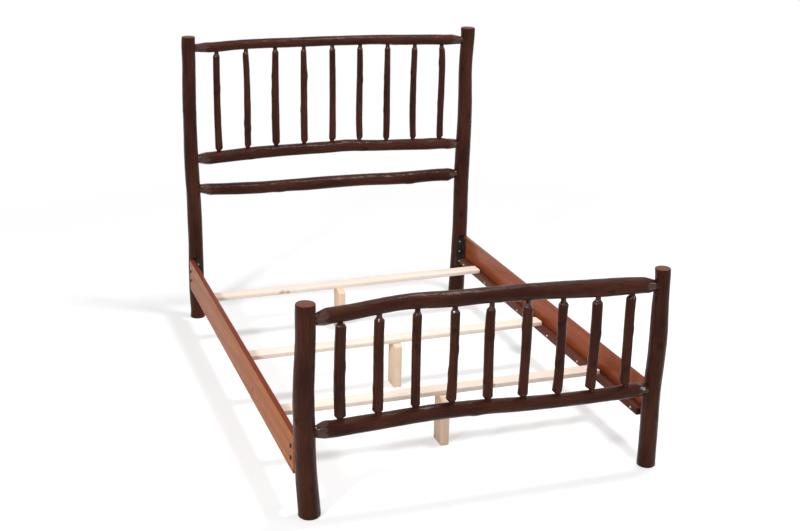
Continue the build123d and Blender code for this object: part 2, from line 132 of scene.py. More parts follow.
def log_material(name, dark, brown, cut, end):
    """Stained and lacquered log: streaked sides, glossier knife-cut shoulders, lighter sawn ends."""
    material = bpy.data.materials.new(name)
    material.use_nodes = True
    tree = material.node_tree
    shader = tree.nodes["Principled BSDF"]
    place = attribute(tree, "straight", "Vector")
    fibre = put(tree, "ShaderNodeGroup", [("Place", place)], node_tree=wood_fibre)
    streaks = fibre.outputs["Streaks"]
    clouds = fibre.outputs["Clouds"]
    pores = fibre.outputs["Pores"]
    bark = mix_colours(tree, between(tree, clouds, 0.15, 0.85), dark, brown)
    streak_colour = tuple(0.42 * part for part in dark)
    bark = mix_colours(tree, between(tree, streaks, 0.25, 0.95, 0.0, 0.55), bark, streak_colour)
    worn = tuple(1.6 * part for part in brown)
    bark = mix_colours(tree, between(tree, pores, 0.62, 1.0, 0.0, 0.35), bark, worn)
    knot = attribute(tree, "knotty")
    bark = mix_colours(tree, between(tree, knot, 0.35, 0.95, 0.0, 0.7), bark, streak_colour)
    cut_shade = tuple(0.45 * part for part in cut)
    shaved = mix_colours(tree, between(tree, streaks, 0.1, 0.9), cut, cut_shade)
    bark = mix_colours(tree, attribute(tree, "shaved"), bark, shaved)
    grain_place = put(tree, "ShaderNodeMapping", [("Vector", place), ("Scale", (1.0, 1.0, 0.0))])
    rings = put(
        tree, "ShaderNodeTexWave",
        [("Vector", grain_place.outputs[0]), ("Scale", 90.0), ("Distortion", 2.5), ("Detail", 2.0)],
        wave_type="RINGS", rings_direction="SPHERICAL",
    )
    end_shade = tuple(0.45 * part for part in end)
    sawn = mix_colours(tree, between(tree, rings.outputs["Fac"], 0, 1, 0.0, 0.45), end, end_shade)
    colour = mix_colours(tree, attribute(tree, "sawn"), bark, sawn)
    tree.links.new(colour, shader.inputs["Base Color"])
    matt = between(tree, attribute(tree, "sawn"), 0, 1, 0.0, 0.2)
    rough = reckon(tree, "ADD", between(tree, clouds, 0, 1, 0.3, 0.46), matt)
    tree.links.new(rough, shader.inputs["Roughness"])
    long_place = put(tree, "ShaderNodeMapping", [("Vector", place), ("Scale", (1.0, 1.0, 0.4))])
    dents = put(
        tree, "ShaderNodeTexNoise",
        [("Vector", long_place.outputs[0]), ("Scale", 48.0), ("Detail", 1.0)],
    )
    dented = put(
        tree, "ShaderNodeBump",
        [("Strength", 0.6), ("Distance", 0.006), ("Height", dents.outputs[0])],
    )
    height = reckon(tree, "ADD", reckon(tree, "MULTIPLY", streaks, 0.6), pores)
    bump = put(
        tree, "ShaderNodeBump",
        [("Strength", 0.35), ("Distance", 0.0005), ("Height", height), ("Normal", dented.outputs[0])],
    )
    tree.links.new(bump.outputs[0], shader.inputs["Normal"])
    tree.links.new(dented.outputs[0], shader.inputs["Coat Normal"])
    shader.inputs["Specular IOR Level"].default_value = 0.06
    gloss = between(tree, attribute(tree, "shaved"), 0, 1, 0.3, 0.65)
    lacquer = between(tree, attribute(tree, "sawn"), 0, 1, 1.0, 0.1)
    tree.links.new(reckon(tree, "MULTIPLY", gloss, lacquer), shader.inputs["Coat Weight"])
    shader.inputs["Coat Roughness"].default_value = 0.14
    tree.links.new(between(tree, attribute(tree, "shaved"), 0, 1, 1.2, 1.5), shader.inputs["Coat IOR"])
    return material


log_finish = log_material(
    "dark log",
    dark=(0.030, 0.0075, 0.0038),
    brown=(0.064, 0.0185, 0.0095),
    cut=(0.068, 0.020, 0.0105),
    end=(0.165, 0.068, 0.044),
)


def soft_step(value, low, high):
    """0 below low, 1 above high, with a smooth rise between them."""
    share = min(max((value - low) / (high - low), 0.0), 1.0)
    return share * share * (3 - 2 * share)


ray_reach = 0.3


def read_ring(node, middle, aims):
    """Centre and radius of a log's solid at one place, from three rays cast at its plain sides."""
    hits = []
    for aim in aims:
        way = Vector(aim).normalized()
        found, place, _, _ = node.ray_cast(middle + ray_reach * way, -way)
        hits.append(place if found else middle)
    ab = hits[1] - hits[0]
    ac = hits[2] - hits[0]
    turn = ab.cross(ac)
    if turn.length_squared < 1e-16:
        return middle, 0.0
    reach = turn.cross(ab) * ac.length_squared + ac.cross(turn) * ab.length_squared
    reach /= 2 * turn.length_squared
    return hits[0] + reach, reach.length


def spread_rows(stops, spacing):
    """Places along a log: every stop, and even rows between them no further apart than spacing."""
    rows = [stops[0]]
    for start, stop in zip(stops, stops[1:]):
        count = max(1, math.ceil((stop - start) / spacing))
        rows += [start + (stop - start) * (n + 1) / count for n in range(count)]
    return rows


def knife_flats(chance, wide, narrow, length):
    """The drawknife's cuts round one shoulder: each an angle, its depth at the tenon and its slope."""
    flats = []
    count = chance.randint(7, 9)
    first = chance.uniform(0, math.tau)
    for n in range(count):
        angle = first + math.tau * (n + chance.uniform(-0.15, 0.15)) / count
        depth = narrow * chance.uniform(0.95, 1.0)
        flats.append((angle, depth, (wide - depth) / (length * chance.uniform(0.8, 1.15))))
    return flats


def knife_depth(flats, angle, distance):
    """How far from the centre line the cuts leave the wood, this far from the tenon."""
    depth = 1.0
    for cut_angle, narrow, slope in flats:
        facing = math.cos(angle - cut_angle)
        if facing > 0.4:
            depth = min(depth, (narrow + slope * distance) / facing)
    return depth


# A knot is given as its place along the log, its angle round it, its height and its size.
def bark_lift(angle, place, drift, knots, radius):
    """How far ripples and knots lift the side of a log at one place, and how knotty it is."""
    turn = Vector((math.cos(angle), math.sin(angle), 0))
    lift = noise.noise(1.1 * turn + Vector((0, 0, 7 * place)) + drift)
    lift += 0.45 * noise.noise(2.6 * turn + Vector((0, 0, 24 * place)) + drift)
    lift += 0.35 * noise.noise(4.5 * turn + Vector((0, 0, 3 * place)) - drift)
    lift *= bark_ripple
    knotty = 0.0
    for knot_place, knot_angle, height, size in knots:
        around = radius * math.remainder(angle - knot_angle, math.tau)
        away = (place - knot_place) / 1.5
        near = math.exp(-(around * around + away * away) / (size * size))
        lift += height * (near - 0.4 * near ** 4)
        knotty = max(knotty, near)
    return lift, knotty


end_inset = 0.0003
beside_seat = 0.01
into_tenon = 0.002
knife_reach = 0.02
calm_end = 0.03
sawn_rim = (0.0022, 0.0012)


def peel_log(name, ways, aims, stops, spacing, sides, seed, tenons=(), knots=(), seat=None):
    """A log that follows its solid. A tenon is (where the plain log ends, where the tenon starts).

    A seat is (which end of the bed, its y, its foot, its top), and only a log with one has a sawn top.
    """
    along, across, upward = ways
    node = nodes[name]
    low, high = (Vector(corner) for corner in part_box(name))
    middle = (low + high) / 2
    start = low.dot(along)
    stop = high.dot(along)
    rows = spread_rows([start, *stops, stop], spacing)
    chance = random.Random(seed)
    drift = Vector([chance.uniform(0, 50) for _ in range(3)])
    rings = []
    for place in rows:
        kept = min(max(place, start + end_inset), stop - end_inset)
        plain = aims
        if seat and seat[2] - beside_seat < kept < seat[3] + beside_seat:
            plain = (aims[0], aims[1], Vector(aims[1]) - Vector(aims[0]))
        centre, radius = read_ring(node, middle + along * (kept - middle.dot(along)), plain)
        rings.append((centre + along * (place - kept), radius))
    shoulders = []
    for body_end, tenon_start in tenons:
        way = 1.0 if tenon_start > body_end else -1.0
        wide = rings[min(range(len(rows)), key=lambda n: abs(rows[n] - body_end))][1]
        inside = tenon_start + way * into_tenon
        narrow = rings[min(range(len(rows)), key=lambda n: abs(rows[n] - inside))][1]
        flats = knife_flats(chance, wide, narrow, abs(tenon_start - body_end))
        shoulders.append((way, body_end, tenon_start, wide, flats))
    bm = bmesh.new()
    bmesh.ops.create_cone(bm, cap_ends=True, segments=sides, radius1=1, radius2=1, depth=1)
    long_edges = [e for e in bm.edges if abs(e.verts[0].co.z - e.verts[1].co.z) > 0.5]
    bmesh.ops.subdivide_edges(bm, edges=long_edges, cuts=len(rows) - 2, use_grid_fill=True)
    straight = bm.verts.layers.float_vector.new("straight")
    shaved = bm.verts.layers.float.new("shaved")
    sawn = bm.verts.layers.float.new("sawn")
    knotty = bm.verts.layers.float.new("knotty")
    for vert in bm.verts:
        step = round((vert.co.z + 0.5) * (len(rows) - 1))
        place = rows[step]
        centre, radius = rings[step]
        angle = math.atan2(vert.co.y, vert.co.x)
        bark = radius
        cut = 1.0
        for way, body_end, tenon_start, wide, flats in shoulders:
            if way * (place - tenon_start) > 0:
                bark = cut = radius
            elif way * (place - body_end) > -knife_reach:
                bark = wide if way * (place - body_end) > 0 else radius
                cut = knife_depth(flats, angle, way * (tenon_start - place))
        lift, knot = bark_lift(angle, place, drift, knots, radius)
        calm = soft_step(min(place - start, stop - place), 0.0, calm_end)
        bark += lift * (calm if tenons else 1.0)
        vert[shaved] = soft_step(bark - cut, -0.0002, 0.0004)
        if cut <= radius and bark == cut:
            vert[shaved] = 1.0
        reach = min(bark, cut)
        round_way = across * math.cos(angle) + upward * math.sin(angle)
        vert[straight] = Vector((reach * math.cos(angle), reach * math.sin(angle), place)) + drift
        vert[knotty] = knot * (1 - vert[shaved])
        vert.co = centre + round_way * reach
        if seat:
            vert[sawn] = soft_step(place, stop - sawn_rim[0], stop - sawn_rim[1])
        if seat and seat[2] <= place <= seat[3] and (vert.co.y - seat[1]) * seat[0] < 0:
            vert.co.y = seat[1]
            vert[shaved] = 1.0
            vert[knotty] = 0.0
    caps = [face for face in bm.faces if len(face.verts) > 4]
    bmesh.ops.poke(bm, faces=caps)
    return bm


def place_piece(bm, name, body, slot, material, *stands_for):
    """The finished mesh as a piece that rides on a body and stands for its CAD nodes."""
    for face in bm.faces:
        face.smooth = True
    mesh = bpy.data.meshes.new(name)
    bm.to_mesh(mesh)
    bm.free()
    mesh.materials.append(material)
    piece = bpy.data.objects.new(name, mesh)
    bpy.context.scene.collection.objects.link(piece)
    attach(piece, body)
    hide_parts(*stands_for)
    return piece


rail_low, rail_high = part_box("side_rail_left")
flat_slack = 0.002
flat_lip = 0.0004
post_foot_row = 0.003
post_top_rows = (0.005, 0.0035, *sawn_rim, 0.0005)
log_sides = 44
post_rows = 0.008
post_seed = 11
post_knots = {
    "headboard_post_left": ((0.17, 4.2, 0.0025, 0.014), (0.62, 5.3, 0.003, 0.012), (1.02, 3.6, 0.003, 0.013)),
    "headboard_post_right": ((0.42, 4.4, 0.003, 0.014), (0.93, 5.0, 0.003, 0.013), (1.16, 3.9, 0.002, 0.011)),
    "footboard_post_left": ((0.12, 4.9, 0.002, 0.013), (0.38, 3.7, 0.003, 0.014), (0.57, 5.4, 0.002, 0.011)),
    "footboard_post_right": ((0.21, 5.2, 0.002, 0.012), (0.5, 4.5, 0.003, 0.015), (0.68, 3.5, 0.002, 0.011)),
}
for number, (name, knots) in enumerate(post_knots.items()):
    post_side = -1 if "left" in name else 1
    post_end = 1 if "headboard" in name else -1
    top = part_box(name)[1][2]
    flat_low = rail_low[2] - flat_slack
    flat_high = rail_high[2] + flat_slack
    post_stops = [post_foot_row, flat_low, flat_low + flat_lip, flat_high - flat_lip, flat_high]
    post_stops += [top - drop for drop in post_top_rows]
    aims = ((post_side, 0, 0), (0, post_end, 0), (0, -post_end, 0))
    seat = (post_end, post_end * rail_high[1], flat_low + flat_lip / 2, flat_high - flat_lip / 2)
    seed = post_seed + number
    log = peel_log(name, upright, aims, post_stops, post_rows, log_sides, seed, knots=knots, seat=seat)
    place_piece(log, name + "_wood", frame_body, "dark_log", log_finish, name)


# Round rails
# Five thinner peeled logs between the posts. Near each post a drawknife takes the log down to a
# round tenon, glued into a socket of the post, which leaves a ring of reddish flat cuts.
rail_knots = {
    "headboard_top_rail": ((-0.22, 5.6, 0.002, 0.01), (0.31, 4.4, 0.002, 0.01)),
    "headboard_middle_rail": ((-0.4, 4.0, 0.003, 0.012), (0.16, 3.7, 0.004, 0.014), (0.48, 5.2, 0.003, 0.012)),
    "headboard_stretcher": ((-0.26, 4.0, 0.004, 0.015), (0.1, 5.2, 0.003, 0.012), (0.4, 4.1, 0.005, 0.016)),
    "footboard_top_rail": ((-0.28, 3.6, 0.003, 0.013), (0.02, 3.9, 0.002, 0.011), (0.45, 3.5, 0.003, 0.014)),
    "footboard_low_rail": ((-0.33, 3.4, 0.003, 0.013), (-0.05, 4.2, 0.003, 0.012), (0.52, 3.8, 0.002, 0.011)),
}
bark_end = 0.598
deep_in_tenon = 0.665
walk_step = 0.001
rim_row = 0.0008
body_row = 0.012
rail_rows = 0.007
rail_seed = 31


def walk_to_shoulder(node, spot, start, step, aims, tenon_radius):
    """The first place, walking by steps from inside a tenon, where the wood is wider than it."""
    place = start
    while read_ring(node, spot(place), aims)[1] < tenon_radius:
        place += step
    return place


for number, (name, knots) in enumerate(rail_knots.items()):
    plain_side = 1 if "top" in name else -1
    aims = ((0, 1, 0), (0, -1, 0), (0, 0, plain_side))
    low, high = (Vector(corner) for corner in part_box(name))
    tenon_middle = Vector((0, (low.y + high.y) / 2, (low.z + high.z) / 2))
    ends = []
    for side in (-1, 1):
        def spot(reach):
            return tenon_middle + Vector((side * reach, 0, 0))
        tenon_radius = read_ring(nodes[name], spot(deep_in_tenon), aims)[1] + 0.0002
        ends.append(walk_to_shoulder(nodes[name], spot, deep_in_tenon, -walk_step, aims, tenon_radius))
    rail_stops = [-ends[0] - rim_row, -ends[0], -bark_end, body_row - bark_end]
    rail_stops += [bark_end - body_row, bark_end, ends[1], ends[1] + rim_row]
    tenons = ((-bark_end, -ends[0]), (bark_end, ends[1]))
    seed = rail_seed + number
    log = peel_log(
        name, crosswise, aims, rail_stops, rail_rows, log_sides, seed, tenons=tenons, knots=knots
    )
    place_piece(log, name + "_wood", frame_body, "dark_log", log_finish, name)


# Spindles
# Eighteen sticks with the bark peeled off, each cut to a pencil shoulder and a thin round tenon
# at both ends and glued into the rails above and below.
shoulder_drop = 0.012
foot_taper = 0.011
spindle_tenon = 0.0102
spindle_rows = 0.006
spindle_sides = 32
spindle_seed = 50
knot_margin = 0.06
for board in ("headboard", "footboard"):
    for number in range(1, 10):
        name = f"{board}_spindle_{number}"
        low, high = (Vector(corner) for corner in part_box(name))
        middle = (low + high) / 2
        aims = ((0, 1, 0), (0, -1, 0), (1, 0, 0))

        def spot(height):
            return Vector((middle.x, middle.y, height))
        foot = walk_to_shoulder(nodes[name], spot, low.z, walk_step, aims, spindle_tenon)
        neck = walk_to_shoulder(nodes[name], spot, high.z, -walk_step, aims, spindle_tenon)
        tenons = ((foot + foot_taper, foot), (neck - shoulder_drop, neck))
        stops = [foot - rim_row, foot, foot + foot_taper, neck - shoulder_drop, neck, neck + rim_row]
        chance = random.Random(f"{board} knots {number}")
        knots = []
        for _ in range(3):
            knot_place = chance.uniform(foot + knot_margin, neck - knot_margin)
            knots.append((knot_place, chance.uniform(0, math.tau), 0.003, 0.011))
        seed = spindle_seed + 10 * len(board) + number
        log = peel_log(
            name, upright, aims, stops, spindle_rows, spindle_sides, seed, tenons=tenons, knots=knots
        )
        place_piece(log, name + "_wood", frame_body, "dark_log", log_finish, name)


# Side rails
# Two sawn planks on edge, stained reddish brown and lacquered. Their square ends butt against the
# flats on the posts, their long edges are eased, and steel angles bolt them to the posts.
def grain_place(tree, *order):
    """Object coordinates in another order, so that the grain runs along the last one named."""
    apart = put(tree, "ShaderNodeSeparateXYZ", [(0, put(tree, "ShaderNodeTexCoord").outputs["Object"])])
    wires = [(place, apart.outputs[name]) for place, name in enumerate(order)]
    return put(tree, "ShaderNodeCombineXYZ", wires).outputs[0]


stain_knot = (0.05, 0.012, 0.004)


def board_material(
    name, order, colours, rough, coat, knots=(), fineness=1.0, knot_colour=stain_knot, top=None
):
    """Sawn and planed wood: pale, middle and dark colours in bands, streaks and knots.

    A knot is (its middle, its radius), and top is a darker colour given to the faces that point up.
    """
    pale, middle, dark = colours
    material = bpy.data.materials.new(name)
    material.use_nodes = True
    tree = material.node_tree
    shader = tree.nodes["Principled BSDF"]
    place = grain_place(tree, *order)
    real_place = put(tree, "ShaderNodeTexCoord").outputs["Object"]
    knot_mask = None
    for knot, size in knots:
        away = put(tree, "ShaderNodeVectorMath", [(0, real_place), (1, knot)], operation="DISTANCE")
        spot = between(tree, away.outputs["Value"], size, 0.3 * size)
        if knot_mask:
            spot = reckon(tree, "MAXIMUM", spot, knot_mask)
        knot_mask = spot
    fibre = put(tree, "ShaderNodeGroup", [("Place", place), ("Fineness", fineness)], node_tree=wood_fibre)
    streaks = fibre.outputs["Streaks"]
    clouds = fibre.outputs["Clouds"]
    bent = put(tree, "ShaderNodeMapping", [("Vector", place), ("Scale", (14.0, 9.0, 0.55))])
    wires = [("Vector", bent.outputs[0]), ("Scale", 1.0), ("Distortion", 7.0), ("Detail", 3.0)]
    wires.append(("Detail Scale", 0.7))
    bands = put(tree, "ShaderNodeTexWave", wires, wave_type="BANDS", bands_direction="DIAGONAL")
    colour = mix_colours(tree, between(tree, bands.outputs["Fac"], 0.25, 1.0, 0.0, 0.75), pale, middle)
    colour = mix_colours(tree, between(tree, clouds, 0.2, 1.0, 0.0, 0.5), colour, middle)
    colour = mix_colours(tree, between(tree, streaks, 0.45, 1.0, 0.0, 0.5), colour, dark)
    if knot_mask:
        colour = mix_colours(tree, knot_mask, colour, knot_colour)
    mottle = put(tree, "ShaderNodeTexNoise", [("Vector", real_place), ("Scale", 38.0), ("Detail", 4.0)])
    colour = mix_colours(tree, between(tree, mottle.outputs[0], 0.42, 0.68, 0.0, 0.7), colour, middle)
    # Faces that point up are given the top colour.
    if top:
        apart = put(tree, "ShaderNodeSeparateXYZ", [(0, put(tree, "ShaderNodeTexCoord").outputs["Normal"])])
        colour = mix_colours(tree, between(tree, apart.outputs["Z"], 0.4, 0.9), colour, top)
    tree.links.new(colour, shader.inputs["Base Color"])
    tree.links.new(between(tree, streaks, 0, 1, rough, rough + 0.12), shader.inputs["Roughness"])
    height = reckon(tree, "ADD", streaks, fibre.outputs["Pores"])
    bump = put(tree, "ShaderNodeBump", [("Strength", 0.2), ("Distance", 0.0003), ("Height", height)])
    tree.links.new(bump.outputs[0], shader.inputs["Normal"])
    shader.inputs["Specular IOR Level"].default_value = 0.06
    shader.inputs["Coat Weight"].default_value = coat
    shader.inputs["Coat Roughness"].default_value = 0.15
    shader.inputs["Coat IOR"].default_value = 1.3
    return material


def plank(size, centre, ease, turn=0.0):
    """A planed board with eased edges, turned about the upright through its middle."""
    bm = bmesh.new()
    bmesh.ops.create_cube(bm, size=1)
    bmesh.ops.scale(bm, vec=size, verts=bm.verts)
    bmesh.ops.bevel(bm, geom=bm.edges, offset=ease, segments=3, profile=0.5, affect="EDGES", material=-1)
    bmesh.ops.rotate(bm, matrix=Matrix.Rotation(turn, 3, "Z"), verts=bm.verts)
    bmesh.ops.translate(bm, vec=centre, verts=bm.verts)
    return bm


def sharpen(piece, degrees=30):
    """Keeps a piece's flats flat, with its eased edges smooth between them."""
    limit = math.radians(degrees)
    bm = bmesh.new()
    bm.from_mesh(piece.data)
    for edge in bm.edges:
        edge.smooth = len(edge.link_faces) == 2 and edge.calc_face_angle(0) < limit
    bm.to_mesh(piece.data)
    bm.free()


along_bed = ("X", "Z", "Y")
rail_ease = 0.0025
rail_edge = (0.17, 0.032, 0.011)
# Both rails take the same reddish stain. The left rail's paler, tanner colours also paint the sheen on its
# outer face.
rail_stain_and_sheen = {
    "left": ((0.46, 0.158, 0.052), (0.34, 0.104, 0.034), (0.2, 0.052, 0.017)),
    "right": ((0.40, 0.095, 0.026), (0.29, 0.06, 0.017), (0.14, 0.027, 0.008)),
}
rail_coats = {"left": 0.05, "right": 0.35}
rail_marks = {
    "left": (((-0.712, -0.355, 0.205), 0.014),),
    "right": (((0.712, 0.42, 0.25), 0.011),),
}
for side_name, colours in rail_stain_and_sheen.items():
    name = f"side_rail_{side_name}"
    finish = board_material(
        f"board stain and sheen {side_name}", along_bed, colours, 0.4, rail_coats[side_name],
        rail_marks[side_name], top=rail_edge,
    )
    low, high = (Vector(corner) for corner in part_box(name))
    board = plank(high - low, (low + high) / 2, rail_ease)
    rail = place_piece(board, name + "_wood", frame_body, "stained_board", finish, name)
    sharpen(rail)


# Ledgers
# A strip of darker stained wood screwed along the inside of each side rail, a little short of the
# brackets. The slats lie on its top edge.
ledger_colours = ((0.145, 0.044, 0.026), (0.1, 0.03, 0.018), (0.045, 0.014, 0.009))
ledger_ease = 0.002
ledger_finish = board_material("dark strip", along_bed, ledger_colours, 0.42, 0.05, fineness=1.4)
for side_name in ("left", "right"):
    name = f"ledger_{side_name}"
    low, high = (Vector(corner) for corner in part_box(name))
    board = plank(high - low, (low + high) / 2, ledger_ease)
    strip = place_piece(board, name + "_wood", frame_body, "dark_strip", ledger_finish, name)
    sharpen(strip)


# Screws
# Yellow plated wood screws with domed heads and crossed driver slots: six along each ledger, and
# three that hold each bracket to its post.
screw_point = 0.006


def screw(bm, head_face, way, head, head_height, shank, length):
    """One screw standing in its hole: a domed head with a crossed slot, a shank and a point."""
    turn = Vector((0, 0, 1)).rotation_difference(Vector(way)).to_matrix().to_4x4()
    stand = Matrix.Translation(head_face) @ turn
    made = bmesh.ops.create_cone(
        bm, cap_ends=True, segments=24, radius1=head, radius2=0.8 * head, depth=head_height,
        matrix=stand @ Matrix.Translation((0, 0, head_height / 2)),
    )
    sides = [face for vert in made["verts"] for face in vert.link_faces]
    top = max(sides, key=lambda face: (stand.inverted() @ face.calc_center_median()).z)
    verts = set(made["verts"])
    for inset, rise in ((0.17, 0.16), (0.28, 0.08), (0.3, 0.0)):
        bmesh.ops.inset_region(bm, faces=[top], thickness=inset * head, depth=rise * head_height)
        verts.update(top.verts)
    centre = bmesh.ops.poke(bm, faces=[top])["verts"]
    verts.update(centre)
    for vert in verts:
        spot = stand.inverted() @ vert.co
        arm = min(abs(spot.x), abs(spot.y)) < 0.06 * head
        if arm and spot.xy.length < 0.4 * head and spot.z > 0.5 * head_height:
            vert.co -= 0.55 * head_height * Vector(way)
    straight = length - screw_point
    bmesh.ops.create_cone(
        bm, cap_ends=True, segments=16, radius1=shank, radius2=shank, depth=straight,
        matrix=stand @ Matrix.Translation((0, 0, -straight / 2)),
    )
    bmesh.ops.create_cone(
        bm, cap_ends=True, segments=16, radius1=0.2 * shank, radius2=shank, depth=screw_point,
        matrix=stand @ Matrix.Translation((0, 0, -straight - screw_point / 2)),
    )


def metal_material(name, colour, metallic, rough, worn):
    """Plated or painted metal, with a faint mottle in its colour and shine."""
    material = bpy.data.materials.new(name)
    material.use_nodes = True
    tree = material.node_tree
    shader = tree.nodes["Principled BSDF"]
    place = put(tree, "ShaderNodeTexCoord").outputs["Object"]
    mottle = put(tree, "ShaderNodeTexNoise", [("Vector", place), ("Scale", 220.0), ("Detail", 3.0)])
    mottle = between(tree, mottle.outputs[0], 0.35, 0.65)
    tree.links.new(mix_colours(tree, mottle, colour, worn), shader.inputs["Base Color"])
    tree.links.new(between(tree, mottle, 0, 1, rough, rough + 0.15), shader.inputs["Roughness"])
    shader.inputs["Metallic"].default_value = metallic
    shader.inputs["Specular IOR Level"].default_value = 0.2
    return material


brass_finish = metal_material("plated screw", (0.62, 0.42, 0.18), 1.0, 0.28, (0.5, 0.32, 0.13))
head_radius = 0.00475
head_rise = 0.003
shank_radius = 0.00225
ledger_screw_length = 0.05
ledger_screw_shares = (-0.95, -0.45, -0.13, 0.22, 0.64, 0.94)
for side_name, side in (("left", -1), ("right", 1)):
    name = f"ledger_screws_{side_name}"
    low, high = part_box(f"ledger_{side_name}")
    inner = (low if side > 0 else high)[0]
    height = sum(corner[2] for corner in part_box(name)) / 2
    bm = bmesh.new()
    for share in ledger_screw_shares:
        spot = (inner, share * high[1], height)
        screw(bm, spot, (-side, 0, 0), head_radius, head_rise, shank_radius, ledger_screw_length)
    screws = place_piece(bm, name + "_set", frame_body, "brass_screw", brass_finish, name)
    sharpen(screws, 45)


# Corner brackets
# Pressed black steel angles. One flange is screwed to the flat on the post and the other is
# bolted to the inside of the side rail.
black_finish = metal_material("black steel", (0.012, 0.011, 0.011), 0.0, 0.32, (0.02, 0.018, 0.017))
bolt_finish = metal_material("dark bolt", (0.035, 0.03, 0.03), 0.7, 0.35, (0.055, 0.045, 0.04))
gauge = 0.003
bend_radius = 0.002
corner_radius = 0.004
post_screw_setback = 0.019
post_screw_pitch = 0.052
post_screw_length = 0.038
bolt_setback = 0.026
bolt_half_pitch = 0.023
bolt_radius = 0.004
bolt_length = 0.032
hex_radius = 0.0075
bolt_head_height = 0.0053
nut_height = 0.0065
nut_middle = 0.02725
for end_name, end in (("head", 1), ("foot", -1)):
    for side_name, side in (("left", -1), ("right", 1)):
        corner = f"{end_name}_{side_name}"
        low, high = (Vector(point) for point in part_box(f"bracket_{corner}"))
        outer_x = side * max(abs(low.x), abs(high.x))
        inner_x = side * min(abs(low.x), abs(high.x))
        far_y = end * max(abs(low.y), abs(high.y))
        near_y = end * min(abs(low.y), abs(high.y))
        face_x = outer_x - side * gauge
        face_y = far_y - end * gauge
        bm = bmesh.new()
        outline = [(outer_x, far_y), (inner_x, far_y), (inner_x, face_y)]
        outline += [(face_x, face_y), (face_x, near_y), (outer_x, near_y)]
        foot_face = bm.faces.new([bm.verts.new((x, y, low.z)) for x, y in outline])
        raised = bmesh.ops.extrude_face_region(bm, geom=[foot_face])["geom"]
        raised_verts = [item for item in raised if isinstance(item, bmesh.types.BMVert)]
        bmesh.ops.translate(bm, vec=(0, 0, high.z - low.z), verts=raised_verts)
        bmesh.ops.recalc_face_normals(bm, faces=bm.faces)
        inside_bend = []
        for edge in bm.edges:
            first, second = (vert.co for vert in edge.verts)
            beside = (first.xy - Vector((face_x, face_y))).length < 1e-4
            if beside and abs(first.z - second.z) > 0.1:
                inside_bend.append(edge)
        bmesh.ops.bevel(
            bm, geom=inside_bend, offset=bend_radius, segments=4, profile=0.5, affect="EDGES", material=-1
        )
        tips = []
        for edge in bm.edges:
            level = abs(edge.verts[0].co.z - edge.verts[1].co.z) < 1e-5
            if level and abs(edge.calc_length() - gauge) < 1e-4:
                tips.append(edge)
        bmesh.ops.bevel(
            bm, geom=tips, offset=corner_radius, segments=5, profile=0.5, affect="EDGES", material=-1
        )
        rims = [edge for edge in bm.edges if edge.calc_face_angle(0) > 1.2]
        bmesh.ops.bevel(
            bm, geom=rims, offset=0.0004, segments=2, profile=0.5, affect="EDGES", material=-1
        )
        name = f"bracket_{corner}"
        bracket = place_piece(bm, name + "_angle", frame_body, "black_steel", black_finish, name)
        sharpen(bracket)

        middle_z = (low.z + high.z) / 2
        bm = bmesh.new()
        for step in (-1, 0, 1):
            spot = (outer_x - side * post_screw_setback, face_y, middle_z + post_screw_pitch * step)
            screw(bm, spot, (0, -end, 0), head_radius, head_rise, shank_radius, post_screw_length)
        name = f"bracket_screws_{corner}"
        screws = place_piece(bm, name + "_set", frame_body, "brass_screw", brass_finish, name)
        sharpen(screws, 45)

        rail_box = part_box(f"side_rail_{side_name}")
        outside = side * max(abs(rail_box[0][0]), abs(rail_box[1][0]))
        bolt_y = far_y - end * bolt_setback
        rail_middle = (rail_box[0][2] + rail_box[1][2]) / 2
        to_side = Matrix.Rotation(math.radians(90), 4, "Y")
        bolts = bmesh.new()
        nuts = bmesh.new()
        for step in (-1, 1):
            height = rail_middle + bolt_half_pitch * step
            turn = Matrix.Rotation(math.radians(90) + 0.5 * step, 4, "X") @ to_side
            for hexes, out, depth, ease in (
                (bolts, bolt_head_height / 2, bolt_head_height, 0.0006),
                (nuts, -nut_middle, nut_height, 0.0007),
            ):
                made = bmesh.ops.create_cone(
                    hexes, cap_ends=True, segments=6, radius1=hex_radius, radius2=hex_radius, depth=depth,
                    matrix=Matrix.Translation((outside + side * out, bolt_y, height)) @ turn,
                )
                rim = {edge for vert in made["verts"] for edge in vert.link_edges}
                bmesh.ops.bevel(
                    hexes, geom=list(rim), offset=ease, segments=2, profile=0.5, affect="EDGES", material=-1
                )
            bmesh.ops.create_cone(
                bolts, cap_ends=True, segments=20,
                radius1=bolt_radius, radius2=bolt_radius, depth=bolt_length,
                matrix=Matrix.Translation((outside - side * bolt_length / 2, bolt_y, height)) @ to_side,
            )
        for made, kind in ((bolts, "rail_bolts"), (nuts, "rail_nuts")):
            name = f"{kind}_{corner}"
            fastener = place_piece(made, name + "_set", frame_body, "dark_bolt", bolt_finish, name)
            sharpen(fastener, 25)


# Slats and their legs
# Three planed softwood boards that lie loose across the ledgers. Each has a short upright of the
# same wood under it, held by two countersunk screws down through the slat.
pine = ((0.93, 0.82, 0.73), (0.9, 0.75, 0.64), (0.76, 0.54, 0.4))
# The uprights are the slats' wood. Their darker, more orange pine partly paints the shade they stand in under
# the slats.
leg_pine_painted_shade = ((0.88, 0.69, 0.53), (0.83, 0.6, 0.43), (0.66, 0.41, 0.26))
pine_knot = (0.6, 0.36, 0.2)
slat_knots = {
    "head": (((-0.335, 0.665, 0.205), 0.022), ((-0.31, 0.667, 0.205), 0.016)),
    "middle": (),
    "foot": (((0.2, -0.6, 0.215), 0.012),),
}
leg_finish = board_material("pine upright", ("X", "Y", "Z"), leg_pine_painted_shade, 0.55, 0.0)
steel_finish = metal_material("plated steel", (0.6, 0.6, 0.6), 1.0, 0.3, (0.45, 0.45, 0.45))
slat_length = 1.338
slat_width = 0.064
pine_ease = 0.0025
leg_bevel_drop = 0.014
leg_bevel_reach = 0.020
leg_screw_head = 0.0045
leg_screw_rise = 0.0008
leg_screw_sink = 0.0012
leg_screw_shank = 0.0025
leg_screw_length = 0.062
